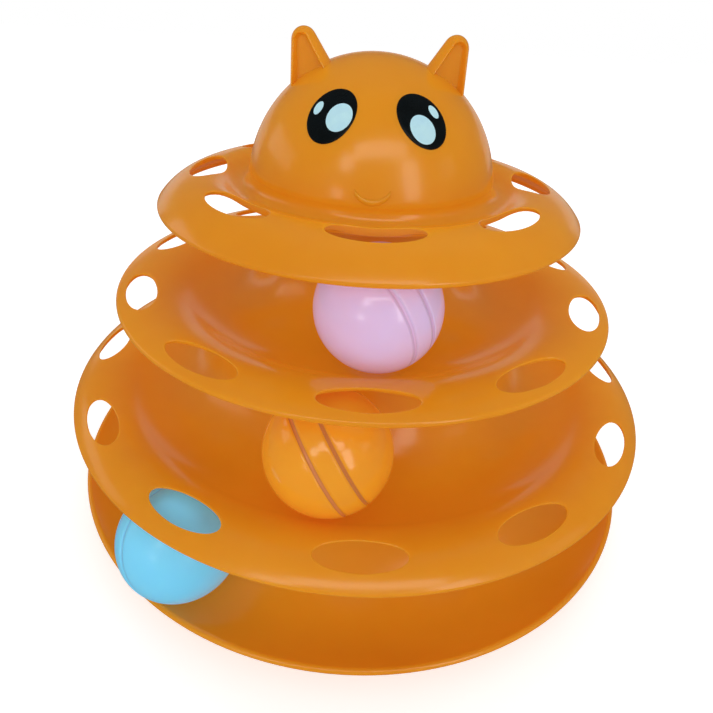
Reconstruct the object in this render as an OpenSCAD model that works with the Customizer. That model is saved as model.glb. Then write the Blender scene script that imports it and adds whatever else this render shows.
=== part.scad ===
// Three-tier ball track for cats: a base tray, two ringed discs and a cat-head top, with a ball on each track.
// Origin on the floor under the middle of the tower, +Z up, the face looks along -Y.

/* [Mouldings] */
// Wall thickness of every tier
wall = 2.0; // [1.6:0.1:2.6]
// How far the bead round each rim stands out of the wall
bead_out = 0.25; // [0.1:0.05:0.5]
// How much wider than a ball the hollow beside each hub is, in radius
hub_play = 3; // [2:0.5:5]
// Length of the straight upper end of each neck
neck_l = 7.5; // [7:0.5:9]
// Play between a collar and the neck it plugs into
plug_play = 0.05; // [0.03:0.01:0.1]
// Depth to which each collar plugs into the tier below
plug_depth = 7; // [5:0.5:9]
// Height of the shoulder that rests on a neck
shoulder_h = 0.6; // [0.4:0.1:1]

/* [Base tray] */
// Height of the base's track above the floor
base_track_h = 10.6; // [10:0.1:12]
// Width that the base's leaning hub wall takes up inside its hollow
base_hub_lean = 3.5; // [3:0.1:6]
// How much wider than a ball the base's curled track is, in radius
base_play = 1.5; // [1.2:0.1:3]
// Angle through which the base's track curls up to the rim
base_curl = 38.7; // [34:0.1:44]

/* [Lower disc] */
// How far this track lies below the top of the ball under the disc
lower_sink = 2.8; // [1:0.1:3.5]
// Width that the leaning hub wall takes up inside its hollow
lower_hub_lean = 4.2; // [3:0.1:7]
// Distance from the track in to the neck that carries the disc
lower_collar_in = 3.7; // [2:0.1:6]
// Width of the slope from the track out to the crest
lower_slope_w = 27.1; // [24:0.1:32]
// Height of the crest above the track
lower_crest_up = 8; // [7:0.1:9.5]
// Width of the roll from the crest out to the rim
lower_roll_w = 12.5; // [11:0.1:16]
// Height of the crest above the middle of the rim bead
lower_rim_drop = 5.55; // [4:0.05:7]
// Share of the slope between track and crest that is hollow
lower_hollow_share = 0.55; // [0.5:0.01:0.6]

/* [Middle disc] */
// How far this track lies below the top of the ball under the disc
middle_sink = 3.4; // [1:0.1:4]
// Outer radius of the neck that carries the head
middle_neck_r = 28.3; // [26:0.1:30]
// Width that the leaning hub wall takes up inside its hollow
middle_hub_lean = 5; // [3:0.1:8]
// Distance from the track in to the neck that carries the disc
middle_collar_in = 1.8; // [1.2:0.1:5]
// Width of the slope from the track out to the crest
middle_slope_w = 32.3; // [30:0.1:36]
// Height of the crest above the track
middle_crest_up = 9.5; // [8.5:0.1:10.5]
// Width of the roll from the crest out to the rim
middle_roll_w = 11; // [10:0.1:14]
// Height of the crest above the middle of the rim bead
middle_rim_drop = 2.35; // [2:0.05:4]
// Share of the slope between track and crest that is hollow
middle_hollow_share = 0.5; // [0.45:0.01:0.56]

/* [Head and brim] */
// Radius of the head
head_r = 47.8; // [45:0.1:50]
// Height of the head's middle above the top of the upper ball
head_up = 2.3; // [1.5:0.1:5]
// How far below the head's middle the middle disc's neck ends
head_neck_drop = 3.2; // [2:0.1:5]
// Radius of the valley between the head and the brim
brim_valley_r = 4; // [3.5:0.1:5]
// How far the valley's round cuts into the head
brim_bite = 0.7; // [0.5:0.1:1]
// Height of the valley's low line above the head's middle
brim_lift = 1; // [0.5:0.1:2]
// Width of the brim's slope from the valley out to the crest
brim_slope_w = 11.9; // [10:0.1:14]
// Height of the brim's crest above the valley
brim_crest_up = 4.2; // [3.5:0.1:5]
// Width of the roll from the crest out to the rim
brim_roll_w = 19.1; // [17:0.1:22]
// Height of the brim's crest above the middle of its rim bead
brim_rim_drop = 9.65; // [8:0.05:11]
// Share of the slope between valley and crest that is hollow
brim_hollow_share = 0.42; // [0.36:0.01:0.5]
// Number of ribs inside the head
head_ribs = 6; // [4:1:8]
// Thickness of those ribs
head_rib_t = 1.6; // [1.2:0.1:2]
// Height of those ribs
head_rib_h = 16; // [10:1:20]

/* [Oval holes] */
// Number of holes in the lower disc
lower_holes = 12; // [8:1:14]
// Distance of their middle outward from the crest
lower_hole_out = 2; // [0:0.1:3]
// Length of each hole round the rim
lower_hole_l = 29.8; // [24:0.2:32]
// Width of each hole across the rim
lower_hole_w = 10.8; // [8:0.2:12]
// Number of holes in the middle disc
middle_holes = 10; // [8:1:12]
// Distance of their middle outward from the crest
middle_hole_out = 1.3; // [0:0.1:2]
// Length of each hole round the rim
middle_hole_l = 31.8; // [24:0.2:33]
// Width of each hole across the rim
middle_hole_w = 11.6; // [8:0.2:12]
// Number of holes in the brim
brim_holes = 8; // [6:1:9]
// Distance of their middle outward from the crest
brim_hole_out = 0.9; // [0:0.1:2]
// Length of each hole round the rim
brim_hole_l = 31; // [24:0.2:32]
// Width of each hole across the rim
brim_hole_w = 13; // [8:0.2:14]

/* [Ears] */
// Place of each ear's tip out from the middle plane, as a share of the head's radius
ear_out_share = 0.55; // [0.52:0.01:0.58]
// Height of the ear's top above the top of the head
ear_rise = 6.7; // [4:0.1:9]
// Radius of the ear's rounded tip, seen from in front
ear_tip_r = 4.5; // [4:0.1:5.2]
// Lean of the ear's outer side from upright
ear_outer_lean = 0.4; // [0:0.1:3]
// Lean of the ear's inner side from upright
ear_inner_lean = 35.4; // [30:0.1:38]
// How far the ear's tip lies in front of the middle of the head
ear_tip_front = 4.2; // [2:0.1:6]
// How far each ear is turned to the side
ear_turn = 14; // [0:1:20]
// Width of the border round the ear's hollow front
ear_border = 1.7; // [1.4:0.1:2.2]
// Depth of the hollow front
ear_hollow_d = 0.9; // [0.5:0.1:1]

/* [Face] */
// Thickness of the eye stickers
sticker_t = 0.3; // [0.2:0.05:0.5]
// Turn of the whole face round the tower
face_turn = -1.3; // [-5:0.1:5]
// Height of each eye above the head's middle, as an angle
eye_up = 41.2; // [38:0.1:44]
// Turn of each eye from the middle of the face, as an angle
eye_side = 24.2; // [22:0.1:28]
// Width of each eye
eye_w = 16.2; // [14:0.1:18]
// Length of each eye
eye_l = 20; // [17:0.1:22]
// Lean of the left eye
left_eye_lean = 9.5; // [0:0.5:35]
// Lean of the right eye
right_eye_lean = 21.5; // [0:0.5:35]
// Width of the large highlight in each eye
large_glint_w = 8.6; // [6:0.1:9]
// Length of the large highlight
large_glint_l = 10.2; // [8:0.1:12]
// Width of the small highlight in each eye
small_glint_w = 3; // [2.5:0.1:4]
// Length of the small highlight
small_glint_l = 5; // [4:0.1:6]
// Width of the black beside the left eye's large highlight
left_glint_edge = 0.6; // [0.4:0.1:2]
// Width of the black beside the right eye's large highlight
right_glint_edge = 1.9; // [0.4:0.1:2]
// Width of the black beside each small highlight
small_glint_edge = 1.2; // [0.6:0.1:1.5]
// Drop of the left eye's large highlight below the eye's middle
left_glint_down = 0.1; // [-1:0.1:3]
// Drop of the right eye's large highlight below the eye's middle
right_glint_down = 2.8; // [-1:0.1:3]
// Height of the small highlight above the eye's middle
small_glint_up = 0.8; // [-1:0.1:1.5]
// Angle of the middle of the smile's circle above the head's middle
smile_up = 16.7; // [12:0.1:20]
// Radius of the smile's lower edge
smile_r = 6.9; // [6:0.1:8]
// Thickness of the smile at its middle
smile_t = 2; // [1.4:0.1:2.4]
// How far the smile stands out of the head
smile_out = 0.6; // [0.3:0.1:1]

/* [Balls] */
// Radius of each ball
ball_r = 22; // [20:0.1:24]
// Wall thickness of each ball
ball_wall = 1.6; // [1.4:0.1:2]
// Width of the band round each ball's seam
band_w = 8; // [6:0.5:9]
// Width of the groove at each edge of the band
groove_w = 0.7; // [0.4:0.1:1]
// Depth of that groove
groove_d = 0.35; // [0.2:0.05:0.4]
// Play between the two halves in their lap joint
lap_play = 0.05; // [0.03:0.01:0.1]
// Gap that keeps a rolling ball clear of its track
roll_gap = 0.3; // [0.2:0.1:0.5]
// Where the blue ball stands round the tower, from +X
blue_turn = -125.5; // [-180:0.5:180]
// Where the orange ball stands round the tower
orange_turn = -97.7; // [-180:0.5:180]
// Where the pink ball stands round the tower
pink_turn = -86.9; // [-180:0.5:180]

/* [Bells] */
// Outer radius of the bell inside each ball
bell_r = 6; // [5:0.1:7]
// Wall thickness of the bell
bell_wall = 0.6; // [0.5:0.1:0.8]
// Width of the bell's crossed slots
bell_slot_w = 1; // [0.8:0.1:1.4]
// Radius of the hole at each slot's end
bell_hole_r = 1.1; // [1:0.1:1.4]
// Radius of the pellet inside the bell
pellet_r = 1.7; // [1.4:0.1:2]
// Radius of the bell's wire loop
loop_r = 1.9; // [1.6:0.1:2.2]
// Radius of that wire
loop_wire_r = 0.5; // [0.4:0.1:0.6]

/* [Feet] */
// Distance from the base's track in to the middle of each rubber pad
pad_in = 13.5; // [12:0.5:16]
// Radius of each pad
pad_r = 8; // [6:0.5:9]
// Thickness of each pad
pad_t = 3; // [2.5:0.1:3.5]
// Depth of the recess that each pad sits in
pad_recess_d = 1; // [0.6:0.1:1.4]
// Height of the lower end of the foot ring above the floor
foot_h = 3.2; // [2.8:0.1:4]

/* [Hidden] */

$fn = 96;
// Steps in one arc of an outline, and points round one oval hole
arc_steps = 12;
oval_points = 40;
// Overrun of every cut past the face it opens
over = 1;

// Turn and tilt of each ball's seam
blue_seam = [-48.7, 62];
orange_seam = [16.3, 63.9];
pink_seam = [39.9, 72.5];

shell_color = [0.90, 0.55, 0.11];

bead_r = wall / 2 + bead_out;
hub_fillet_r = ball_r + hub_play;

// Low line of each track, where a ball rolls, worked out from the head's neck outward and from the floor up
middle_track_r = middle_neck_r + hub_fillet_r + middle_hub_lean;
lower_neck_r = middle_track_r - middle_collar_in;
lower_track_r = lower_neck_r + hub_fillet_r + lower_hub_lean;
base_neck_r = lower_track_r - lower_collar_in;
base_track_r = base_neck_r + hub_fillet_r + base_hub_lean;
lower_track_h = base_track_h + 2 * ball_r - lower_sink;
middle_track_h = lower_track_h + 2 * ball_r - middle_sink;
base_track = [base_track_r, base_track_h];
lower_track = [lower_track_r, lower_track_h];
middle_track = [middle_track_r, middle_track_h];

// Crest and middle of the rim bead of each disc and of the brim
lower_crest = lower_track + [lower_slope_w, lower_crest_up];
lower_rim = lower_crest + [lower_roll_w - bead_r, -lower_rim_drop];
middle_crest = middle_track + [middle_slope_w, middle_crest_up];
middle_rim = middle_crest + [middle_roll_w - bead_r, -middle_rim_drop];
head_h = middle_track_h + 2 * ball_r + head_up;
brim_valley = [head_r + brim_valley_r - brim_bite, head_h + brim_lift];
brim_crest = brim_valley + [brim_slope_w, brim_crest_up];
brim_rim = brim_crest + [brim_roll_w - bead_r, -brim_rim_drop];

ear_tip_x = head_r * ear_out_share;
ear_top_h = head_r + ear_rise;
pad_pitch_r = base_track_r - pad_in;

// Points of an arc round c, from angle a0 to angle a1
function arc(c, r, a0, a1) =
    [for (i = [0 : arc_steps]) let (a = a0 + (a1 - a0) * i / arc_steps) c + r * [cos(a), sin(a)]];

// Sum of the two radii of an S-shaped slope that runs d out and h up
function slope_sum(d, h) = (d * d + h * h) / (2 * h);

// Height of a surface of the hub fillet at radius r, t below the upper face
function fillet_h(track_r, track_h, r, t) =
    track_h + hub_fillet_r - sqrt(pow(hub_fillet_r + t, 2) - pow(track_r - r, 2));

// Outer end of a tier's outline: the rim bead round c, where the wall points along angle a
function bead(c, a) =
    let (back = acos(wall / 2 / bead_r))
    arc(c, bead_r, a + back, a - 180 - back);

// Upper or lower side of the slope from the track out to the crest and over to the rim
function slope_side(track, crest, rim, share, t) =
    let (
        sum = slope_sum(crest.x - track.x, crest.y - track.y),
        hollow_r = sum * share,
        crest_in_r = sum - hollow_r,
        turn = asin((crest.x - track.x) / sum),
        crest_out_r = slope_sum(rim.x - crest.x, crest.y - wall / 2 - rim.y) + wall / 2,
        roll = asin((rim.x - crest.x) / (crest_out_r - wall / 2))
    )
    concat(
        arc(track + [0, hollow_r], hollow_r + t, 270, 270 + turn),
        arc(crest - [0, crest_in_r], crest_in_r - t, 90 + turn, 90),
        arc(crest - [0, crest_out_r], crest_out_r - t, 90, 90 - roll)
    );

// Angle at which the wall meets the rim bead
function rim_angle(crest, rim) =
    90 - asin((rim.x - crest.x) / slope_sum(rim.x - crest.x, crest.y - wall / 2 - rim.y));

// Lean of a hub wall that runs from the neck's straight part to touch the fillet
function hub_lean(track, neck_r, neck_h) =
    let (to_c = track + [0, hub_fillet_r] - [neck_r, neck_h - neck_l])
    90 + atan2(to_c.y, to_c.x) - asin(hub_fillet_r / norm(to_c));

// Upper or lower side of the hub: neck, leaning wall and fillet down to the track
function hub_side(track, neck_r, neck_h, t) =
    let (
        c = track + [0, hub_fillet_r],
        lean = hub_lean(track, neck_r, neck_h),
        foot = c + (hub_fillet_r + t) * [-cos(lean), -sin(lean)],
        rise = (foot.x - (neck_r - t)) / tan(lean)
    )
    concat(
        [[neck_r - t, neck_h], [neck_r - t, foot.y + rise]],
        arc(c, hub_fillet_r + t, 180 + lean, 270)
    );

// Reverses the order of a list of points
function reversed(list) = [for (i = [len(list) - 1 : -1 : 0]) list[i]];

// One track tier: hub, track, crest and rolled rim in one wall
module track_shell(track, crest, rim, share, neck_r, neck_h) {
    outline = concat(
        hub_side(track, neck_r, neck_h, 0),
        slope_side(track, crest, rim, share, 0),
        bead(rim, rim_angle(crest, rim)),
        reversed(slope_side(track, crest, rim, share, wall)),
        reversed(hub_side(track, neck_r, neck_h, wall))
    );
    rotate_extrude() polygon(outline);
}

// Ring of oval holes, one of them at the front
module oval_holes(count, pitch_r, length, width, low, high) {
    oval = [
        for (i = [0 : oval_points - 1])
        let (a = 360 * i / oval_points)
        [length / 2 * cos(a), width / 2 * sin(a)]
    ];
    for (i = [0 : count - 1]) {
        rotate(360 * i / count)
        translate([0, -pitch_r, low])
        linear_extrude(high - low) polygon(oval);
    }
}

// Collar and shoulder under a tier, for the neck of the tier below
module collar(track, neck_r, neck_h) {
    collar_r = neck_r - wall - plug_play;
    top = fillet_h(track.x, track.y, collar_r - wall / 2, wall / 2);
    translate([0, 0, neck_h - plug_depth])
    difference() {
        cylinder(r = collar_r, h = top - neck_h + plug_depth);
        translate([0, 0, -over]) cylinder(r = collar_r - wall, h = top - neck_h + plug_depth + 2 * over);
    }
    shoulder_top = fillet_h(track.x, track.y, neck_r - wall / 2, wall / 2);
    translate([0, 0, neck_h])
    difference() {
        cylinder(r = neck_r, h = shoulder_top - neck_h);
        translate([0, 0, -over]) cylinder(r = collar_r - wall / 2, h = shoulder_top - neck_h + 2 * over);
    }
}

// Heights of the necks, just under the tier that each one carries
base_neck_h = fillet_h(lower_track_r, lower_track_h, base_neck_r, wall) - shoulder_h;
lower_neck_h = fillet_h(middle_track_r, middle_track_h, lower_neck_r, wall) - shoulder_h;
middle_neck_h = head_h - head_neck_drop;

// The base's slope is one hollow arc up to the rim bead
base_hollow_r = ball_r + base_play;
base_rim = base_track + [0, base_hollow_r] + (base_hollow_r + wall / 2) * [sin(base_curl), -cos(base_curl)];

module base_shell() {
    outline = concat(
        hub_side(base_track, base_neck_r, base_neck_h, 0),
        arc(base_track + [0, base_hollow_r], base_hollow_r, 270, 270 + base_curl),
        bead(base_rim, 90 + base_curl),
        reversed(arc(base_track + [0, base_hollow_r], base_hollow_r + wall, 270, 270 + base_curl)),
        reversed(hub_side(base_track, base_neck_r, base_neck_h, wall))
    );
    rotate_extrude() polygon(outline);
}

// Directions of the four pads round the base
front_right = -45;
back_right = 45;
back_left = 135;
front_left = -135;
pad_turns = [front_right, back_right, back_left, front_left];

// Space from the floor up to the middle of the base tray's wall
module under_base() {
    outline = concat(
        [[base_neck_r - wall / 2, 0]],
        hub_side(base_track, base_neck_r, base_neck_h, wall / 2),
        arc(base_track + [0, base_hollow_r], base_hollow_r + wall / 2, 270, 270 + base_curl),
        [[base_rim.x, 0]]
    );
    rotate_extrude() polygon(outline);
}

// Ring and bosses under the base tray, before they are cut to its wall
module feet() {
    translate([0, 0, foot_h])
    difference() {
        cylinder(r = pad_pitch_r + wall / 2, h = base_neck_h);
        translate([0, 0, -over]) cylinder(r = pad_pitch_r - wall / 2, h = base_neck_h + 2 * over);
    }
    for (turn = pad_turns) {
        rotate(turn)
        translate([pad_pitch_r, 0, pad_t - pad_recess_d])
        cylinder(r = pad_r + wall / 2, h = base_neck_h);
    }
}

module base_tray() {
    color(shell_color) {
        base_shell();
        difference() {
            intersection() {
                feet();
                under_base();
            }
            for (turn = pad_turns) {
                rotate(turn)
                translate([pad_pitch_r, 0, pad_t - pad_recess_d - over])
                cylinder(r = pad_r, h = pad_recess_d + over);
            }
        }
    }
}

module lower_disc() {
    color(shell_color) {
        difference() {
            track_shell(lower_track, lower_crest, lower_rim, lower_hollow_share, lower_neck_r, lower_neck_h);
            oval_holes(lower_holes, lower_crest.x + lower_hole_out, lower_hole_l, lower_hole_w,
                lower_track_h - wall, lower_crest.y + over);
        }
        collar(lower_track, base_neck_r, base_neck_h);
    }
}

module middle_disc() {
    color(shell_color) {
        difference() {
            track_shell(middle_track, middle_crest, middle_rim, middle_hollow_share, middle_neck_r, middle_neck_h);
            oval_holes(middle_holes, middle_crest.x + middle_hole_out, middle_hole_l, middle_hole_w,
                middle_track_h - wall, middle_crest.y + over);
        }
        collar(middle_track, lower_neck_r, lower_neck_h);
    }
}

// Brim from its valley beside the head out to the rolled rim
module brim_shell() {
    valley_c = brim_valley + [0, brim_valley_r];
    outline = concat(
        arc(valley_c, brim_valley_r, 180, 270),
        slope_side(brim_valley, brim_crest, brim_rim, brim_hollow_share, 0),
        bead(brim_rim, rim_angle(brim_crest, brim_rim)),
        reversed(slope_side(brim_valley, brim_crest, brim_rim, brim_hollow_share, wall)),
        reversed(arc(valley_c, brim_valley_r + wall, 215, 270))
    );
    rotate_extrude() polygon(outline);
}

// Outline of an ear seen from in front, drawn in by inset
module ear_front(inset) {
    c = [0, ear_top_h - ear_tip_r];
    r = ear_tip_r - inset;
    outer = c + r * [cos(ear_outer_lean), -sin(ear_outer_lean)];
    inner = c + r * [-cos(ear_inner_lean), sin(ear_inner_lean)];
    foot = ear_top_h;
    polygon(concat(
        [outer + foot * [-sin(ear_outer_lean), -cos(ear_outer_lean)]],
        arc(c, r, -ear_outer_lean, 180 - ear_inner_lean),
        [inner + foot * [-sin(ear_inner_lean), -cos(ear_inner_lean)]]
    ));
}

// Solid ear of the right side, or its core when drawn in by inset: a round-tipped cone that leans to the middle
module ear_cone(inset) {
    half_angle = (ear_inner_lean + ear_outer_lean) / 2;
    tip_r = ear_tip_r - inset;
    touch = tip_r * [cos(half_angle), sin(half_angle)];
    foot_r = touch.x + (touch.y + ear_top_h) * tan(half_angle);
    translate([0, 0, ear_top_h - ear_tip_r])
    rotate([0, (ear_inner_lean - ear_outer_lean) / 2, 0]) {
        sphere(r = tip_r);
        translate([0, 0, -ear_top_h])
        cylinder(r1 = foot_r, r2 = touch.x, h = ear_top_h + touch.y);
    }
}

// Right ear with its hollow front, standing in the head's frame
module ear() {
    difference() {
        ear_cone(0);
        difference() {
            rotate([90, 0, 0])
            linear_extrude(head_r) ear_front(ear_border);
            ear_cone(ear_hollow_d);
        }
    }
}

// Puts an ear, or its core, at its place on the right side, or mirrored on the left
module at_ear(side) {
    rotate(face_turn)
    mirror([side < 0 ? 1 : 0, 0, 0])
    translate([ear_tip_x, -ear_tip_front, 0])
    rotate(ear_turn)
    children();
}

// Turns a piece drawn on the XY plane to face outward from the head
module facing(side_turn, up) {
    rotate(side_turn)
    rotate([90 - up, 0, 0])
    children();
}

// Crescent of the smile, standing out of the head
module smile() {
    intersection() {
        sphere(r = head_r + smile_out);
        facing(face_turn, smile_up)
        linear_extrude(2 * head_r)
        difference() {
            circle(r = smile_r);
            translate([0, smile_t]) circle(r = smile_r);
            translate([-smile_r, smile_t]) square([2 * smile_r, smile_r]);
        }
    }
}

// Tube and ribs inside the head, which plug on to the middle disc's neck
module head_socket() {
    tube_r = middle_neck_r - wall - plug_play;
    plug_h = middle_neck_h - plug_depth - head_h;
    intersection() {
        union() {
            difference() {
                translate([0, 0, plug_h]) cylinder(r = tube_r, h = head_r - plug_h);
                translate([0, 0, plug_h - over]) cylinder(r = tube_r - wall, h = head_r - plug_h + 2 * over);
            }
            for (i = [0 : head_ribs - 1]) {
                rotate(360 * (i + 0.5) / head_ribs)
                translate([tube_r - wall / 2, -head_rib_t / 2, middle_neck_h - head_h])
                cube([head_r - tube_r, head_rib_t, head_rib_h]);
            }
        }
        union() {
            sphere(r = head_r - wall / 2);
            translate([0, 0, plug_h]) cylinder(r = head_r - wall / 2, h = -plug_h);
        }
    }
}

module head_top() {
    color(shell_color) {
        translate([0, 0, head_h]) {
            difference() {
                union() {
                    sphere(r = head_r);
                    at_ear(1) ear();
                    at_ear(-1) ear();
                    smile();
                }
                sphere(r = head_r - wall);
                at_ear(1) ear_cone(wall);
                at_ear(-1) ear_cone(wall);
                translate([0, 0, brim_lift - head_r])
                cube([4 * head_r, 4 * head_r, 2 * head_r], center = true);
            }
            head_socket();
        }
        difference() {
            brim_shell();
            oval_holes(brim_holes, brim_crest.x + brim_hole_out, brim_hole_l, brim_hole_w,
                brim_rim.y, brim_crest.y + over);
        }
    }
}

// Oval prism across the head's skin, leaned to the side
module oval(width, length) {
    points = [
        for (i = [0 : oval_points - 1])
        let (a = 360 * i / oval_points)
        [width / 2 * cos(a), length / 2 * sin(a)]
    ];
    linear_extrude(2 * head_r) polygon(points);
}

// Both highlights of one eye, in the eye's own frame
module glints(side, large_edge, large_down) {
    large_x = eye_w / 2 - large_edge - large_glint_w / 2;
    small_x = eye_w / 2 - small_glint_edge - small_glint_w / 2;
    translate([-side * large_x, -large_down]) oval(large_glint_w, large_glint_l);
    translate([side * small_x, small_glint_up]) oval(small_glint_w, small_glint_l);
}

// Cuts its children to the thin skin of a sticker on the head
module sticker(side, lean) {
    translate([0, 0, head_h])
    intersection() {
        difference() {
            sphere(r = head_r + sticker_t);
            sphere(r = head_r);
        }
        facing(face_turn + side * eye_side, eye_up)
        rotate(side * lean)
        children();
    }
}

module left_eye() {
    color("#0a1418")
    sticker(-1, left_eye_lean)
    difference() {
        oval(eye_w, eye_l);
        glints(-1, left_glint_edge, left_glint_down);
    }
}

module right_eye() {
    color("#0a1418")
    sticker(1, right_eye_lean)
    difference() {
        oval(eye_w, eye_l);
        glints(1, right_glint_edge, right_glint_down);
    }
}

module left_eye_highlights() {
    color("#c4e6f5") sticker(-1, left_eye_lean) glints(-1, left_glint_edge, left_glint_down);
}

module right_eye_highlights() {
    color("#c4e6f5") sticker(1, right_eye_lean) glints(1, right_glint_edge, right_glint_down);
}

// Half profile of the hollow ball, seam across the middle
module ball_wall_profile() {
    intersection() {
        difference() {
            circle(r = ball_r);
            circle(r = ball_r - ball_wall);
            for (side = [-1, 1]) {
                translate([band_edge_r - groove_d, side * band_w / 2 - groove_w / 2])
                square([ball_r, groove_w]);
            }
        }
        translate([0, -ball_r]) square([ball_r, 2 * ball_r]);
    }
}

// Radius of the ball at the edge of its band, and of the lap joint under the band
band_edge_r = sqrt(ball_r * ball_r - band_w * band_w / 4);
lap_r = (ball_r - ball_wall + band_edge_r) / 2;

// Half with the lip that runs under the band
module plain_half() {
    rotate_extrude()
    intersection() {
        ball_wall_profile();
        union() {
            translate([0, band_w / 2]) square([ball_r, ball_r]);
            translate([0, lap_play - band_w / 2]) square([lap_r - lap_play, band_w]);
        }
    }
}

// Half with the band that closes over the lip
module banded_half() {
    rotate_extrude()
    intersection() {
        ball_wall_profile();
        union() {
            translate([0, -ball_r]) square([ball_r, ball_r - band_w / 2]);
            translate([lap_r, -band_w / 2]) square([ball_r - lap_r, band_w]);
        }
    }
}

// Jingle bell with crossed slots below and a wire loop on top
module bell() {
    difference() {
        sphere(r = bell_r);
        sphere(r = bell_r - bell_wall);
        for (turn = [0, 90]) {
            rotate(turn) {
                translate([-bell_r, -bell_slot_w / 2, -bell_r])
                cube([2 * bell_r, bell_slot_w, bell_r - bell_hole_r]);
                translate([0, 0, -bell_hole_r])
                rotate([0, 90, 0])
                cylinder(r = bell_hole_r, h = 2 * bell_r, center = true);
            }
        }
    }
    translate([0, 0, bell_r + loop_r - loop_wire_r])
    rotate([90, 0, 0])
    rotate_extrude() translate([loop_r, 0]) circle(r = loop_wire_r);
}

module pellet() {
    translate([0, 0, pellet_r + bell_wall - bell_r + lap_play]) sphere(r = pellet_r);
}

// Puts a piece at the middle of the ball on one track
module on_track(track, turn) {
    rotate(turn)
    translate([track.x, 0, track.y + roll_gap + ball_r])
    rotate(-turn)
    children();
}

// Puts a piece at the bottom of the ball's hollow
module in_ball(track, turn) {
    on_track(track, turn)
    translate([0, 0, bell_r + ball_wall + roll_gap - ball_r])
    children();
}

// Turns a ball so that its seam lies as the ball has rolled
module rolled(seam) {
    rotate([0, seam.y, seam.x]) children();
}

module blue_ball_plain_half() {
    color("#7ccdeb") on_track(base_track, blue_turn) rolled(blue_seam) plain_half();
}

module blue_ball_banded_half() {
    color("#7ccdeb") on_track(base_track, blue_turn) rolled(blue_seam) banded_half();
}

module blue_ball_bell() {
    color("silver") in_ball(base_track, blue_turn) bell();
}

module blue_ball_pellet() {
    color("gray") in_ball(base_track, blue_turn) pellet();
}

module orange_ball_plain_half() {
    color("#f09a1e") on_track(lower_track, orange_turn) rolled(orange_seam) plain_half();
}

module orange_ball_banded_half() {
    color("#f09a1e") on_track(lower_track, orange_turn) rolled(orange_seam) banded_half();
}

module orange_ball_bell() {
    color("silver") in_ball(lower_track, orange_turn) bell();
}

module orange_ball_pellet() {
    color("gray") in_ball(lower_track, orange_turn) pellet();
}

module pink_ball_plain_half() {
    color("#f4b9cb") on_track(middle_track, pink_turn) rolled(pink_seam) plain_half();
}

module pink_ball_banded_half() {
    color("#f4b9cb") on_track(middle_track, pink_turn) rolled(pink_seam) banded_half();
}

module pink_ball_bell() {
    color("silver") in_ball(middle_track, pink_turn) bell();
}

module pink_ball_pellet() {
    color("gray") in_ball(middle_track, pink_turn) pellet();
}

// Rubber pad in its recess under the base tray
module pad(turn) {
    color("#2a2a2c") rotate(turn) translate([pad_pitch_r, 0, 0]) cylinder(r = pad_r, h = pad_t);
}

module front_left_pad() {
    pad(front_left);
}

module front_right_pad() {
    pad(front_right);
}

module back_left_pad() {
    pad(back_left);
}

module back_right_pad() {
    pad(back_right);
}

base_tray();
lower_disc();
middle_disc();
head_top();
left_eye();
right_eye();
left_eye_highlights();
right_eye_highlights();
blue_ball_plain_half();
blue_ball_banded_half();
blue_ball_bell();
blue_ball_pellet();
orange_ball_plain_half();
orange_ball_banded_half();
orange_ball_bell();
orange_ball_pellet();
pink_ball_plain_half();
pink_ball_banded_half();
pink_ball_bell();
pink_ball_pellet();
front_left_pad();
front_right_pad();
back_left_pad();
back_right_pad();
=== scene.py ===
"""Looks of the three-tier ball track for cats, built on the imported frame.

Metres, +Z up; the face looks along -Y.
"""
import math

import bmesh
import bpy
import numpy as np
from mathutils import Matrix, Vector


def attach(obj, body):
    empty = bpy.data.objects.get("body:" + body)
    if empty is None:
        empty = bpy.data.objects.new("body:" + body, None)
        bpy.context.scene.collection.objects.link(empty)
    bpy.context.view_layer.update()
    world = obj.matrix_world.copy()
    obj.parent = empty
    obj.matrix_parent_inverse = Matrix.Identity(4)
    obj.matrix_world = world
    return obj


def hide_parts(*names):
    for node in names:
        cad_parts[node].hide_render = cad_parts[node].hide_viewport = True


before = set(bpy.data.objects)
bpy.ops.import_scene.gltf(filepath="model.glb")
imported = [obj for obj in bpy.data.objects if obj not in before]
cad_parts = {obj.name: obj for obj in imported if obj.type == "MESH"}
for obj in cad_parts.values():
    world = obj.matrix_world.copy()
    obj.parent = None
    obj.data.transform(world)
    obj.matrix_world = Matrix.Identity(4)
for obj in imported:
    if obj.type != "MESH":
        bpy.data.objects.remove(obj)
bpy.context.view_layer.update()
MM = 0.001

# Camera, as solved from the photograph
IMAGE_SIZE = 713
CAMERA_PLACE = Vector((-9.8, -224.9, 202.2)) * MM
CAMERA_TURN = 1.65
CAMERA_PITCH = 32.72
CAMERA_ROLL = 3.55
FOCAL_PIXELS = 558
AXIS_PIXEL = (351.1, 356.0)
SENSOR_MM = 36.0
CLIP_START = 0.01


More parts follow.
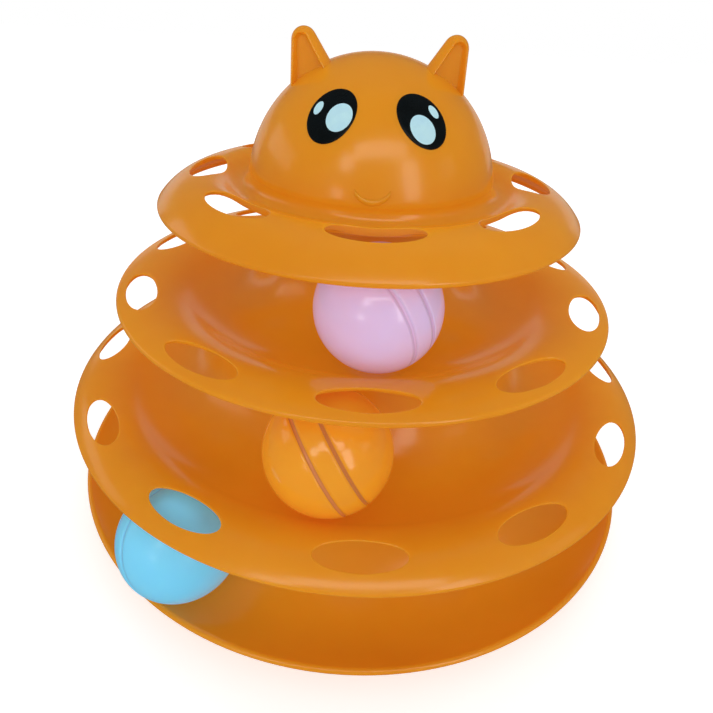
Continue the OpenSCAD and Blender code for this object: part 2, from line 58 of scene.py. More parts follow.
def add_camera():
    """Puts the camera where the photograph was taken from."""
    turn = math.radians(CAMERA_TURN)
    pitch = math.radians(CAMERA_PITCH)
    roll = math.radians(CAMERA_ROLL)
    ahead = math.cos(pitch)
    forward = Vector((math.sin(turn) * ahead, math.cos(turn) * ahead, -math.sin(pitch)))
    level = Vector((math.cos(turn), -math.sin(turn), 0))
    upright = level.cross(forward)
    right = level * math.cos(roll) + upright * math.sin(roll)
    up = upright * math.cos(roll) - level * math.sin(roll)
    data = bpy.data.cameras.new("camera")
    data.sensor_width = SENSOR_MM
    data.lens = FOCAL_PIXELS / IMAGE_SIZE * SENSOR_MM
    data.shift_x = (IMAGE_SIZE / 2 - AXIS_PIXEL[0]) / IMAGE_SIZE
    data.shift_y = (AXIS_PIXEL[1] - IMAGE_SIZE / 2) / IMAGE_SIZE
    data.clip_start = CLIP_START
    data.dof.use_dof = False
    camera = bpy.data.objects.new("camera", data)
    camera.matrix_world = Matrix((
        (right.x, up.x, -forward.x, CAMERA_PLACE.x),
        (right.y, up.y, -forward.y, CAMERA_PLACE.y),
        (right.z, up.z, -forward.z, CAMERA_PLACE.z),
        (0, 0, 0, 1),
    ))
    bpy.context.scene.collection.objects.link(camera)
    bpy.context.scene.camera = camera


add_camera()

# Sizes of the mouldings, in metres
WALL = 2.0 * MM
BEAD_R = 1.25 * MM
FILLET_R = 25 * MM
NECK_L = 7.5 * MM
SHOULDER = 0.6 * MM
PLUG_DEPTH = 7 * MM
PLUG_PLAY = 0.05 * MM
HOLE_ROUND = 0.45 * MM
RING_EASE = 0.2 * MM
# Share of the room beside a hole by which its wall widens downward
HOLE_DRAFT_SHARE = 0.7

# Mesh density
MERGE_DISTANCE = 2e-6
ARC_STEP = math.radians(2.5)
SLOPE_STEPS = 24
EDGE_STEPS = 10
BAND_RINGS = 9
BAND_ACROSS = 22
BAND_ALONG = 9
BAND_CROWDING = 1.25
LIP_STEPS = 5
BASE_COLUMNS = 256
RING_COLUMNS = 180
PAD_COLUMNS = 72
BALL_COLUMNS = 160


def linear(red, green, blue):
    """A picture colour, 0 to 255, as the shader's linear colour, by the sRGB curve."""
    def one(value):
        value /= 255
        return value / 12.92 if value <= 0.04045 else ((value + 0.055) / 1.055) ** 2.4
    return (one(red), one(green), one(blue), 1)


# Mesh helpers

def new_piece(name, verts, faces, material, body, replaced):
    """A smooth mesh piece that rides on a body and stands for the named nodes."""
    mesh = bpy.data.meshes.new(name)
    mesh.from_pydata([tuple(v) for v in verts], [], [tuple(f) for f in faces])
    shaped = bmesh.new()
    shaped.from_mesh(mesh)
    bmesh.ops.remove_doubles(shaped, verts=shaped.verts, dist=MERGE_DISTANCE)
    bmesh.ops.recalc_face_normals(shaped, faces=shaped.faces)
    shaped.to_mesh(mesh)
    shaped.free()
    for polygon in mesh.polygons:
        polygon.use_smooth = True
    mesh.materials.append(material)
    piece = bpy.data.objects.new(name, mesh)
    bpy.context.scene.collection.objects.link(piece)
    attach(piece, body)
    if replaced:
        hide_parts(*replaced)
    return piece


def grid_faces(rows, columns, wrap=False, base=0):
    """Quads over a grid of points, rows by columns, closed round the columns if wrap is set."""
    faces = []
    for i in range(rows - 1):
        for j in range(columns if wrap else columns - 1):
            k = (j + 1) % columns
            faces.append((base + i * columns + j, base + i * columns + k,
                          base + (i + 1) * columns + k, base + (i + 1) * columns + j))
    return faces


def arc(centre, radius, start, end):
    """Points (r, z) of an arc between two angles in radians."""
    steps = max(2, int(math.ceil(abs(end - start) / ARC_STEP)))
    angles = np.linspace(start, end, steps + 1)
    return [(centre[0] + radius * math.cos(a), centre[1] + radius * math.sin(a)) for a in angles]


def lathe(path, columns, closed=False):
    """Points and faces of a path (r, z) turned about the Z axis."""
    path = list(path) + ([path[0]] if closed else [])
    turns = np.linspace(0, 2 * math.pi, columns, endpoint=False)
    verts = [(r * math.cos(t), r * math.sin(t), z) for r, z in path for t in turns]
    return verts, grid_faces(len(path), columns, wrap=True)


# Outline of a tier

def slope_sum(out, up):
    """Sum of the two radii of an S-shaped slope that runs out and up."""
    return (out * out + up * up) / (2 * up)


def bead(rim, angle):
    """Points round a rim bead; its upper side runs on from the wall's upper face.

    The angle is the direction in which that face looks at the rim.
    """
    shift = BEAD_R - WALL / 2
    c = (rim[0] - shift * math.cos(angle), rim[1] - shift * math.sin(angle))
    return arc(c, BEAD_R, angle, angle - 2 * math.pi + math.acos((BEAD_R - WALL) / BEAD_R))


class Slope:
    """The wall from the track out over the crest to the rim bead."""

    def __init__(self, low, crest, rim, share):
        total = slope_sum(crest[0] - low[0], crest[1] - low[1])
        self.low = low
        self.crest = crest
        self.rim = rim
        self.hollow_r = total * share
        self.inner_r = total - self.hollow_r
        self.turn = math.asin((crest[0] - low[0]) / total)
        out = rim[0] - crest[0]
        self.middle_r = slope_sum(out, crest[1] - WALL / 2 - rim[1])
        self.outer_r = self.middle_r + WALL / 2
        self.roll = math.asin(out / self.middle_r)

    def height(self, r, depth):
        """Height of the wall's upper face, or of the face that lies depth below it, at radius r."""
        c = self.low[1] + self.hollow_r
        bend = self.low[0] + (self.hollow_r + depth) * math.sin(self.turn)
        if r < bend:
            return c - math.sqrt((self.hollow_r + depth) ** 2 - (r - self.low[0]) ** 2)
        radius = self.inner_r if r < self.crest[0] else self.outer_r
        return self.crest[1] - radius + math.sqrt((radius - depth) ** 2 - (r - self.crest[0]) ** 2)

    def inner_path(self, depth, r_end):
        """Points from the track's low line out to r_end."""
        reach = np.linspace(self.low[0], r_end, SLOPE_STEPS)
        return [(r, self.height(r, depth)) for r in reach]

    def outer_path(self, r_start):
        """Points from r_start on the upper face, round the bead and back to r_start below."""
        angle = math.pi / 2 - self.roll
        end_r = self.crest[0] + self.outer_r * math.cos(angle)
        low_r = self.crest[0] + (self.outer_r - WALL) * math.cos(angle)
        upper = [(r, self.height(r, 0)) for r in np.linspace(r_start, end_r, EDGE_STEPS)][:-1]
        lower = [(r, self.height(r, WALL)) for r in np.linspace(r_start, low_r, EDGE_STEPS)][:-1]
        return upper + bead(self.rim, angle) + lower[::-1]


def hub_path(track, neck_r, neck_h, depth):
    """Points of the hub from the top of its neck down to the track's low line."""
    c = (track[0], track[1] + FILLET_R)
    out = c[0] - neck_r
    up = c[1] - (neck_h - NECK_L)
    lean = math.pi / 2 + math.atan2(up, out) - math.asin(FILLET_R / math.hypot(out, up))
    radius = FILLET_R + depth
    foot = (c[0] - radius * math.cos(lean), c[1] - radius * math.sin(lean))
    rise = (foot[0] - (neck_r - depth)) / math.tan(lean)
    wall = [(neck_r - depth, neck_h), (neck_r - depth, foot[1] + rise)]
    return wall + arc(c, radius, math.pi + lean, 1.5 * math.pi)


def fillet_height(track, r, depth):
    """Height of the hub's fillet at radius r, depth below its upper face."""
    return track[1] + FILLET_R - math.sqrt((FILLET_R + depth) ** 2 - (track[0] - r) ** 2)


def band_outline(r_in, r_out, half):
    """Points (r, angle) round one sector of a crest band."""
    sides = [(r_in, -half + 2 * half * i / BAND_ACROSS) for i in range(BAND_ACROSS)]
    sides += [(r_in + (r_out - r_in) * i / BAND_ALONG, half) for i in range(BAND_ALONG)]
    sides += [(r_out, half - 2 * half * i / BAND_ACROSS) for i in range(BAND_ACROSS)]
    sides += [(r_out - (r_out - r_in) * i / BAND_ALONG, -half) for i in range(BAND_ALONG)]
    return sides


def oval_band(slope, r_in, r_out, count, pitch_r, length, width):
    """Points and faces of the crest band: upper and lower faces and the oval holes' edges."""
    half = math.pi / count
    sides = band_outline(r_in, r_out, half)
    columns = len(sides)
    outer = np.array([(r * math.sin(t), r * math.cos(t) - pitch_r) for r, t in sides])
    scale = np.array([pitch_r * math.sin(half), (r_out - r_in) / 2])
    turn = np.arctan2(outer[:, 1] / scale[1], outer[:, 0] / scale[0])
    hole = np.stack([length / 2 * np.cos(turn), width / 2 * np.sin(turn)], axis=1)
    lip = HOLE_ROUND * (1 - np.cos(np.linspace(0, math.pi / 2, LIP_STEPS)))
    spread = np.linspace(0, 1, BAND_RINGS) ** BAND_CROWDING
    gap = outer - hole
    outward = gap / np.linalg.norm(gap, axis=1)[:, None]

    def face_points(depth, sign, draft):
        """One face of a sector; sign says which way its edge is rounded."""
        start = hole + outward * (draft + HOLE_ROUND)
        layers = [(hole + outward * (draft + d), d) for d in lip[:-1]]
        layers += [(start + (outer - start) * share, HOLE_ROUND) for share in spread]
        points = []
        for plan, d in layers:
            sink = HOLE_ROUND - math.sqrt(max(0.0, HOLE_ROUND ** 2 - (HOLE_ROUND - d) ** 2))
            for x, y in plan:
                r = min(max(math.hypot(x, y + pitch_r), r_in), r_out)
                points.append((x, -(y + pitch_r), slope.height(r, depth) - sign * sink))
        return points

    upper = face_points(0, 1, 0)
    lower = face_points(WALL, -1, HOLE_DRAFT_SHARE * (r_out - r_in - width) / 2)
    rows = len(lip) - 1 + BAND_RINGS
    verts = []
    faces = []
    for k in range(count):
        spin = Matrix.Rotation(2 * math.pi * k / count, 3, "Z")
        top = len(verts)
        under = top + rows * columns
        verts += [tuple(spin @ Vector(p)) for p in upper + lower]
        faces += grid_faces(rows, columns, wrap=True, base=top)
        faces += grid_faces(rows, columns, wrap=True, base=under)
        for j in range(columns):
            n = (j + 1) % columns
            faces.append((top + j, top + n, under + n, under + j))
    return verts, faces, count * BAND_ACROSS


def joined(*parts):
    """One list of points and one of faces from several."""
    verts = []
    faces = []
    for part_verts, part_faces in parts:
        base = len(verts)
        verts += list(part_verts)
        faces += [tuple(base + i for i in face) for face in part_faces]
    return verts, faces


def turned_lathe(path, columns, count):
    """A lathe whose columns line up with the edges of the oval band's sectors."""
    verts, faces = lathe(path, columns)
    spin = Matrix.Rotation(-math.pi / 2 - math.pi / count, 3, "Z")
    return [tuple(spin @ Vector(v)) for v in verts], faces


def pierced_shell(slope, holes, above, below):
    """Both given faces taken out to the crest, with the pierced band and the rolled rim."""
    r_in, r_out, count = holes[:3]
    band_verts, band_faces, columns = oval_band(slope, *holes)
    above = above + slope.inner_path(0, r_in)
    below = below + slope.inner_path(WALL, r_in)
    inner = turned_lathe(below[::-1] + above, columns, count)
    outer = turned_lathe(slope.outer_path(r_out), columns, count)
    return joined((band_verts, band_faces), inner, outer)


def tier_shell(slope, track, neck_r, neck_h, holes):
    """Hub, track, pierced crest and rolled rim of one tier."""
    above = hub_path(track, neck_r, neck_h, 0)[:-1]
    below = hub_path(track, neck_r, neck_h, WALL)[:-1]
    return pierced_shell(slope, holes, above, below)


def ring(r_in, r_out, z_low, z_high, columns=RING_COLUMNS):
    """A plain ring with slightly eased edges."""
    ease = min(RING_EASE, (r_out - r_in) / 4, (z_high - z_low) / 4)
    path = [
        (r_in + ease, z_low), (r_out - ease, z_low),
        (r_out, z_low + ease), (r_out, z_high - ease),
        (r_out - ease, z_high), (r_in + ease, z_high),
        (r_in, z_high - ease), (r_in, z_low + ease),
    ]
    return lathe(path, columns, closed=True)


# Tier sizes: a place is (radius, height), and a slope is given by the places of the track's low
# line, of the crest and of the rim bead, and the hollow's share of the slope. Holes are given by
# the band's inner and outer radius, their count, pitch radius, length and width.
BASE_TRACK = (110.5 * MM, 10.6 * MM)
BASE_HOLLOW_R = 23.5 * MM
BASE_CURL = math.radians(38.7)
BASE_MIDDLE_R = BASE_HOLLOW_R + WALL / 2
BASE_RIM = (BASE_TRACK[0] + BASE_MIDDLE_R * math.sin(BASE_CURL),
            BASE_TRACK[1] + BASE_HOLLOW_R - BASE_MIDDLE_R * math.cos(BASE_CURL))
BASE_NECK_R = 82 * MM
LOWER_TRACK = (85.7 * MM, 51.8 * MM)
LOWER_SLOPE = Slope(LOWER_TRACK, (112.8 * MM, 59.8 * MM), (125.3 * MM - BEAD_R, 54.25 * MM), 0.55)
LOWER_NECK_R = 56.5 * MM
LOWER_HOLES = (106 * MM, 121.9 * MM, 12, 114.8 * MM, 29.8 * MM, 10.8 * MM)
MIDDLE_TRACK = (58.3 * MM, 92.4 * MM)
MIDDLE_SLOPE = Slope(MIDDLE_TRACK, (90.6 * MM, 101.9 * MM), (101.6 * MM - BEAD_R, 99.55 * MM), 0.5)
MIDDLE_NECK_R = 28.3 * MM
MIDDLE_NECK_H = 135.5 * MM
MIDDLE_HOLES = (83 * MM, 99 * MM, 10, 91.9 * MM, 31.8 * MM, 11.6 * MM)
HEAD_R = 47.8 * MM
HEAD_H = 138.7 * MM
VALLEY_R = 4 * MM
VALLEY_BITE = 0.7 * MM
BRIM_LIFT = 1 * MM
VALLEY = (HEAD_R + VALLEY_R - VALLEY_BITE, HEAD_H + BRIM_LIFT)
FACE_TURN = math.radians(-1.3)
BRIM_SLOPE = Slope(VALLEY, (63 * MM, 143.9 * MM), (82.1 * MM - BEAD_R, 134.25 * MM), 0.42)
BRIM_HOLES = (54.6 * MM, 73.2 * MM, 8, 63.9 * MM, 31 * MM, 13 * MM)
BASE_NECK_H = fillet_height(LOWER_TRACK, BASE_NECK_R, WALL) - SHOULDER
LOWER_NECK_H = fillet_height(MIDDLE_TRACK, LOWER_NECK_R, WALL) - SHOULDER
PAD_PITCH_R = 97 * MM
PAD_R = 8 * MM
PAD_T = 3 * MM
PAD_RECESS = 1 * MM
PAD_EDGE_R = 0.5 * MM
FOOT_H = 3.2 * MM
# Place of each pad round the tray, in degrees
PAD_TURNS = {
    "front_right_pad": -45,
    "back_right_pad": 45,
    "back_left_pad": 135,
    "front_left_pad": -135,
}
RIB_COUNT = 6
RIB_T = 1.6 * MM
RIB_H = 16 * MM
RIB_EDGE = 0.25 * MM

# Materials


class Nodes:
    """Short calls for building a material's node tree."""

    def __init__(self, name):
        self.material = bpy.data.materials.new(name)
        self.material.use_nodes = True
        self.tree = self.material.node_tree
        self.shader = self.tree.nodes["Principled BSDF"]
        self.place = self.tree.nodes.new("ShaderNodeTexCoord").outputs["Object"]

    def noise(self, scale, detail, rough):
        """A noise over the piece's own coordinates, 0 to 1."""
        node = self.tree.nodes.new("ShaderNodeTexNoise")
        node.inputs["Scale"].default_value = scale
        node.inputs["Detail"].default_value = detail
        node.inputs["Roughness"].default_value = rough
        self.tree.links.new(self.place, node.inputs["Vector"])
        return node.outputs["Fac"]

    def spread(self, value, low, high, start=0.3, end=0.7):
        """A value spread over a range of numbers."""
        node = self.tree.nodes.new("ShaderNodeMapRange")
        node.inputs["From Min"].default_value = start
        node.inputs["From Max"].default_value = end
        node.inputs["To Min"].default_value = low
        node.inputs["To Max"].default_value = high
        self.tree.links.new(value, node.inputs["Value"])
        return node.outputs["Result"]

    def blend(self, value, first, second, start=0.35, end=0.65):
        """A colour between two, by a value."""
        node = self.tree.nodes.new("ShaderNodeValToRGB")
        node.color_ramp.elements[0].position = start
        node.color_ramp.elements[0].color = first
        node.color_ramp.elements[1].position = end
        node.color_ramp.elements[1].color = second
        self.tree.links.new(value, node.inputs["Fac"])
        return node.outputs["Color"]

    def bump(self, value, strength, distance):
        """Fine relief from a value."""
        node = self.tree.nodes.new("ShaderNodeBump")
        node.inputs["Strength"].default_value = strength
        node.inputs["Distance"].default_value = distance
        self.tree.links.new(value, node.inputs["Height"])
        self.tree.links.new(node.outputs["Normal"], self.shader.inputs["Normal"])

    def drive(self, socket, value):
        """Joins a value to a socket of the shader."""
        self.tree.links.new(value, self.shader.inputs[socket])

    def fix(self, **sockets):
        """Sets constant sockets of the shader; an underscore stands for a space."""
        for name, value in sockets.items():
            self.shader.inputs[name.replace("_", " ")].default_value = value


def surface(name, colours, rough, patches, scuffs, grain, relief, **sockets):
    """A material whose colour, roughness and fine relief each follow a noise of their own.

    Patches, scuffs and grain are each a noise's scale, detail and roughness; relief is the bump's
    strength and distance.
    """
    made = Nodes(name)
    made.drive("Base Color", made.blend(made.noise(*patches), *colours))
    made.drive("Roughness", made.spread(made.noise(*scuffs), *rough))
    made.bump(made.noise(*grain), *relief)
    made.fix(**sockets)
    return made.material


# Painted glow: an even emission that stands in for light the thin coloured plastic passes on from its
# far side, lifting its shade
AMBER_PAINTED_GLOW = (1.0, 0.33, 0.02, 1)
BLUE_PAINTED_GLOW = (0.7, 1.25, 1.85, 1)
ORANGE_PAINTED_GLOW = (1.0, 0.4, 0.05, 1)
PINK_PAINTED_GLOW = (0.8, 0.6, 0.95, 1)
PAINTED_GLOW_LEVEL = 0.12
DEPTH_SCALE = 0.006
COAT_ROUGHNESS = 0.06


def plastic(name, colours, painted_glow, rough=(0.16, 0.26), glow=0.15, glow_radius=(0.5, 0.2, 0.05),
            coat=0.2, ior=1.49):
    """Glossy moulded plastic with faint flow marks, a soft depth, fine ripples and a painted glow of
    its own colour.
    """
    return surface(name, colours, rough, patches=(14, 4, 0.55), scuffs=(60, 5, 0.6),
                   grain=(220, 2, 0.5), relief=(0.06, 0.0004),
                   Subsurface_Weight=glow, Subsurface_Scale=DEPTH_SCALE, Subsurface_Radius=glow_radius,
                   Coat_Weight=coat, Coat_Roughness=COAT_ROUGHNESS, IOR=ior,
                   # emission: painted glow that lifts the plastic's shade
                   Emission_Color=painted_glow, Emission_Strength=PAINTED_GLOW_LEVEL)


def sticker(name, colours):
    """Smooth printed vinyl."""
    return surface(name, colours, rough=(0.2, 0.32), patches=(180, 3, 0.5), scuffs=(300, 3, 0.5),
                   grain=(900, 2, 0.5), relief=(0.04, 0.0002), Specular_IOR_Level=0.25)


def metal(name, colours, rough=(0.12, 0.24)):
    """Plated or plain metal with faint scuffs."""
    return surface(name, colours, rough, patches=(400, 4, 0.6), scuffs=(900, 4, 0.6),
                   grain=(1400, 3, 0.6), relief=(0.08, 0.0001), Metallic=1.0)


def rubber(name, colours):
    """Matt rubber with a fine grain."""
    return surface(name, colours, rough=(0.62, 0.85), patches=(120, 4, 0.6), scuffs=(500, 4, 0.6),
                   grain=(1600, 3, 0.6), relief=(0.3, 0.0002), Sheen_Weight=0.1)


AMBER = plastic("amber_plastic", (linear(224, 149, 28), linear(216, 139, 22)), AMBER_PAINTED_GLOW,
                glow=0.35, glow_radius=(1.0, 0.45, 0.1), coat=0.12, ior=1.42)
BLUE = plastic("blue_plastic", (linear(92, 205, 244), linear(106, 212, 247)), BLUE_PAINTED_GLOW,
               rough=(0.28, 0.36))
ORANGE = plastic("orange_plastic", (linear(246, 164, 34), linear(238, 150, 28)), ORANGE_PAINTED_GLOW,
                 rough=(0.12, 0.2), glow=0.3)
PINK = plastic("pink_plastic", (linear(224, 206, 252), linear(232, 192, 228)), PINK_PAINTED_GLOW,
               rough=(0.14, 0.22), coat=0.3)
# Darker colours for the seam grooves: painted shade in the recesses
BLUE_GROOVE_SHADE = plastic("blue_seam", (linear(96, 184, 222), linear(104, 192, 226)), BLUE_PAINTED_GLOW, coat=0.1)
ORANGE_GROOVE_SHADE = plastic("orange_seam", (linear(200, 116, 78), linear(210, 124, 66)), ORANGE_PAINTED_GLOW,
                      coat=0.1)
PINK_GROOVE_SHADE = plastic("pink_seam", (linear(224, 196, 240), linear(232, 184, 220)), PINK_PAINTED_GLOW, coat=0.1)
BLACK = sticker("black_vinyl", (linear(3, 10, 13), linear(5, 14, 18)))
PALE = sticker("pale_print", (linear(200, 244, 255), linear(192, 238, 255)))
BELL = metal("bell_metal", (linear(205, 206, 208), linear(188, 189, 192)))
PELLET = metal("pellet_metal", (linear(128, 128, 130), linear(110, 110, 112)), rough=(0.25, 0.4))
RUBBER = rubber("pad_rubber", (linear(44, 44, 46), linear(34, 34, 36)))


# Tiers

def base_tray():
    """Lowest dish with its hub and foot ring, on four pads."""
    c = (BASE_TRACK[0], BASE_TRACK[1] + BASE_HOLLOW_R)
    low = 1.5 * math.pi
    end = low + BASE_CURL
    above = hub_path(BASE_TRACK, BASE_NECK_R, BASE_NECK_H, 0)[:-1]
    above += arc(c, BASE_HOLLOW_R, low, end)[:-1]
    below = hub_path(BASE_TRACK, BASE_NECK_R, BASE_NECK_H, WALL)[:-1]
    below += arc(c, BASE_HOLLOW_R + WALL, low, end)[:-1]
    rim = bead(BASE_RIM, math.pi / 2 + BASE_CURL)
    shell = lathe(above + rim + below[::-1], BASE_COLUMNS, closed=True)
    top = fillet_height(BASE_TRACK, PAD_PITCH_R, WALL / 2)
    foot = ring(PAD_PITCH_R - WALL / 2, PAD_PITCH_R + WALL / 2, FOOT_H, top)
    verts, faces = joined(shell, foot)
    new_piece("base_tray_shell", verts, faces, AMBER, "base", ("base_tray",))
    for name, turn in PAD_TURNS.items():
        pad(name, math.radians(turn), top)


def pad(name, turn, top):
    """One rubber pad and the tray's boss that holds it."""
    boss = ring(PAD_R, PAD_R + WALL / 2, PAD_T - PAD_RECESS, top - WALL, PAD_COLUMNS)
    floor = ring(0, PAD_R, PAD_T, PAD_T + WALL / 2, PAD_COLUMNS)
    verts, faces = joined(boss, floor)
    place = Matrix.Rotation(turn, 4, "Z") @ Matrix.Translation((PAD_PITCH_R, 0, 0))
    placed = [place @ Vector(v) for v in verts]
    for v in placed:
        v.z = min(v.z, fillet_height(BASE_TRACK, math.hypot(v.x, v.y), WALL / 2))
    new_piece(name + "_boss", placed, faces, AMBER, "base", ())
    outline = [(0, 0), (PAD_R - PAD_EDGE_R, 0)]
    outline += arc((PAD_R - PAD_EDGE_R, PAD_EDGE_R), PAD_EDGE_R, -math.pi / 2, 0)
    outline += [(PAD_R, PAD_T), (0, PAD_T)]
    verts, faces = lathe(outline, PAD_COLUMNS, closed=True)
    placed = [place @ Vector(v) for v in verts]
    new_piece(name + "_foot", placed, faces, RUBBER, "base", (name,))


def collar(track, neck_r, neck_h):
    """Collar and shoulder under a tier."""
    collar_r = neck_r - WALL - PLUG_PLAY
    top = fillet_height(track, collar_r - WALL / 2, WALL / 2)
    shoulder = fillet_height(track, neck_r - WALL / 2, WALL / 2)
    inner = ring(collar_r - WALL, collar_r, neck_h - PLUG_DEPTH, top)
    return joined(inner, ring(collar_r - WALL / 2, neck_r, neck_h, shoulder))


def lower_disc():
    """Lowest ringed disc, pierced with twelve ovals."""
    shell = tier_shell(LOWER_SLOPE, LOWER_TRACK, LOWER_NECK_R, LOWER_NECK_H, LOWER_HOLES)
    verts, faces = joined(shell, collar(LOWER_TRACK, BASE_NECK_R, BASE_NECK_H))
    new_piece("lower_disc_shell", verts, faces, AMBER, "lower_tier", ("lower_disc",))


def middle_disc():
    """Middle ringed disc, pierced with ten ovals."""
    shell = tier_shell(MIDDLE_SLOPE, MIDDLE_TRACK, MIDDLE_NECK_R, MIDDLE_NECK_H, MIDDLE_HOLES)
    verts, faces = joined(shell, collar(MIDDLE_TRACK, LOWER_NECK_R, LOWER_NECK_H))
    new_piece("middle_disc_shell", verts, faces, AMBER, "middle_tier", ("middle_disc",))


def circles_meet(head_r, c, valley_r):
    """Angles, on the head's circle and on the valley's, at which the two meet above the valley."""
    out = c[0]
    up = c[1] - HEAD_H
    apart = math.hypot(out, up)
    along = (apart ** 2 + head_r ** 2 - valley_r ** 2) / (2 * apart)
    opening = math.acos(min(1.0, along / head_r))
    on_head = math.atan2(up, out) + opening
    meet = (head_r * math.cos(on_head), HEAD_H + head_r * math.sin(on_head))
    on_valley = math.atan2(meet[1] - c[1], meet[0] - c[0])
    return on_head, on_valley if on_valley > 0 else on_valley + 2 * math.pi


def head_top():
    """Head and brim in one moulding, with the tube and ribs inside."""
    c = (VALLEY[0], VALLEY[1] + VALLEY_R)
    low = 1.5 * math.pi
    crown_end, valley_start = circles_meet(HEAD_R, c, VALLEY_R)
    hollow_end, under_start = circles_meet(HEAD_R - WALL, c, VALLEY_R + WALL)
    above = arc((0, HEAD_H), HEAD_R, math.pi / 2, crown_end)[:-1]
    above += arc(c, VALLEY_R, valley_start, low)[:-1]
    below = arc((0, HEAD_H), HEAD_R - WALL, math.pi / 2, hollow_end)[:-1]
    below += arc(c, VALLEY_R + WALL, under_start, low)[:-1]
    tube_r = MIDDLE_NECK_R - WALL - PLUG_PLAY
    dome = math.sqrt((HEAD_R - WALL / 2) ** 2 - tube_r ** 2)
    tube = ring(tube_r - WALL, tube_r, MIDDLE_NECK_H - PLUG_DEPTH, HEAD_H + dome)
    verts, faces = joined(pierced_shell(BRIM_SLOPE, BRIM_HOLES, above, below), tube)
    new_piece("head_shell", verts, faces, AMBER, "head", ("head_top",))
    for number in range(RIB_COUNT):
        rib(number, tube_r)


def rib(number, tube_r):
    """One rib between the tube and the head's wall."""
    r_low = tube_r - WALL / 2
    r_high = HEAD_R - WALL / 2
    shaped = bmesh.new()
    bmesh.ops.create_cube(shaped, size=1)
    for v in shaped.verts:
        z = MIDDLE_NECK_H if v.co.z < 0 else MIDDLE_NECK_H + RIB_H
        reach = math.sqrt(r_high ** 2 - (z - HEAD_H) ** 2)
        v.co = Vector((r_low if v.co.x < 0 else reach, v.co.y * RIB_T, z))
    bmesh.ops.bevel(shaped, geom=shaped.edges[:], offset=RIB_EDGE, segments=2, affect="EDGES")
    spin = Matrix.Rotation(math.radians(360 / RIB_COUNT * (number + 0.5)), 4, "Z")
    verts = [spin @ v.co for v in shaped.verts]
    shaped.verts.index_update()
    faces = [[v.index for v in f.verts] for f in shaped.faces]
    shaped.free()
    new_piece("head_rib_" + str(number + 1), verts, faces, AMBER, "head", ())


# Ears
EAR_TIP_X = 26.3 * MM
EAR_TOP = 54.5 * MM
EAR_TIP_R = 4.5 * MM
EAR_HALF_ANGLE = math.radians(17.9)
EAR_LEAN = math.radians(17.5)
EAR_TIP_FRONT = 4.2 * MM
EAR_TURN = math.radians(14)
EAR_BORDER = 1.5 * MM
EAR_BORDER_EASE = 1.4 * MM
EAR_FLAT_D = 1.6 * MM
EAR_L = 24 * MM
EAR_TIP_START = math.pi / 2 - 0.01
EAR_TIP_STEPS = 40
EAR_SIDE_STEPS = 60
EAR_COLUMNS = 160


def ear_room(r, z):
    """Distance from the ear's outline, seen from in front, in to a point of its front."""
    if z > EAR_TIP_R * math.sin(EAR_HALF_ANGLE):
        return EAR_TIP_R - math.hypot(r, z)
    return EAR_TIP_R - abs(r) * math.cos(EAR_HALF_ANGLE) - z * math.sin(EAR_HALF_ANGLE)


def ear(side, name):
    """Round-tipped cone that leans to the middle, hollow in front, its foot inside the head."""
    touch = (EAR_TIP_R * math.cos(EAR_HALF_ANGLE), EAR_TIP_R * math.sin(EAR_HALF_ANGLE))
    path = [(EAR_TIP_R * math.cos(a), EAR_TIP_R * math.sin(a))
            for a in np.linspace(EAR_TIP_START, EAR_HALF_ANGLE, EAR_TIP_STEPS)]
    path += [(touch[0] + drop * math.tan(EAR_HALF_ANGLE), touch[1] - drop)
             for drop in np.linspace(0, EAR_L, EAR_SIDE_STEPS)[1:]]
    verts = []
    for r, z in path:
        for j in range(EAR_COLUMNS):
            a = 2 * math.pi * j / EAR_COLUMNS
            x = r * math.cos(a)
            y = r * math.sin(a)
            if y < 0:
                share = min(1.0, max(0.0, (ear_room(x, z) - EAR_BORDER) / EAR_BORDER_EASE))
                sink = share * share * (3 - 2 * share)
                y += max(0.0, -EAR_FLAT_D - y) * sink
            verts.append(Vector((x, y, z)))
    faces = grid_faces(len(path), EAR_COLUMNS, wrap=True)
    faces.append(tuple(range(EAR_COLUMNS)))
    faces.append(tuple((len(path) - 1) * EAR_COLUMNS + j for j in range(EAR_COLUMNS)))
    foot = (Matrix.Rotation(FACE_TURN, 4, "Z") @ Matrix.Diagonal((side, 1, 1, 1))
            @ Matrix.Translation((EAR_TIP_X, -EAR_TIP_FRONT, HEAD_H)))
    place = (foot @ Matrix.Rotation(EAR_TURN, 4, "Z")
             @ Matrix.Translation((0, 0, EAR_TOP - EAR_TIP_R)) @ Matrix.Rotation(EAR_LEAN, 4, "Y"))
    new_piece(name, [place @ v for v in verts], faces, AMBER, "head", ())


# Face
EYE_SIDE = math.radians(24.2)
EYE_UP = math.radians(41.2)
STICKER_T = 0.3 * MM
GLINT_T = STICKER_T * 1.15
# Rings of a sticker: share of its half size, and of its thickness; flat, then a rounded edge
STICKER_RINGS = [(share, 1.0) for share in np.linspace(0, 0.97, 14)]
STICKER_RINGS += [(0.985, 0.92), (0.996, 0.6), (1.0, 0.0)]
STICKER_COLUMNS = 96
EYE_SIZE = (16.2 * MM, 20 * MM)
LARGE_GLINT = (8.6 * MM, 10.2 * MM)
SMALL_GLINT = (3 * MM, 5 * MM)
SMALL_GLINT_PLACE = (5.4 * MM, 0.8 * MM)
# Side and lean of each eye, and where its large highlight lies toward the nose and down
EYES = {
    "left": (-1, math.radians(9.5), (3.2 * MM, 0.1 * MM)),
    "right": (1, math.radians(21.5), (1.9 * MM, 2.8 * MM)),
}
SMILE_UP = math.radians(16.7)
SMILE_R = 6.9 * MM
SMILE_T = 2 * MM
SMILE_OUT = 0.6 * MM
SMILE_SINK = 0.05 * MM
SMILE_TAPER_W = 0.7 * MM
SMILE_REACH_SHARE = 0.98
SMILE_FULLNESS = 0.6
SMILE_ROWS = 49
SMILE_COLUMNS = 9


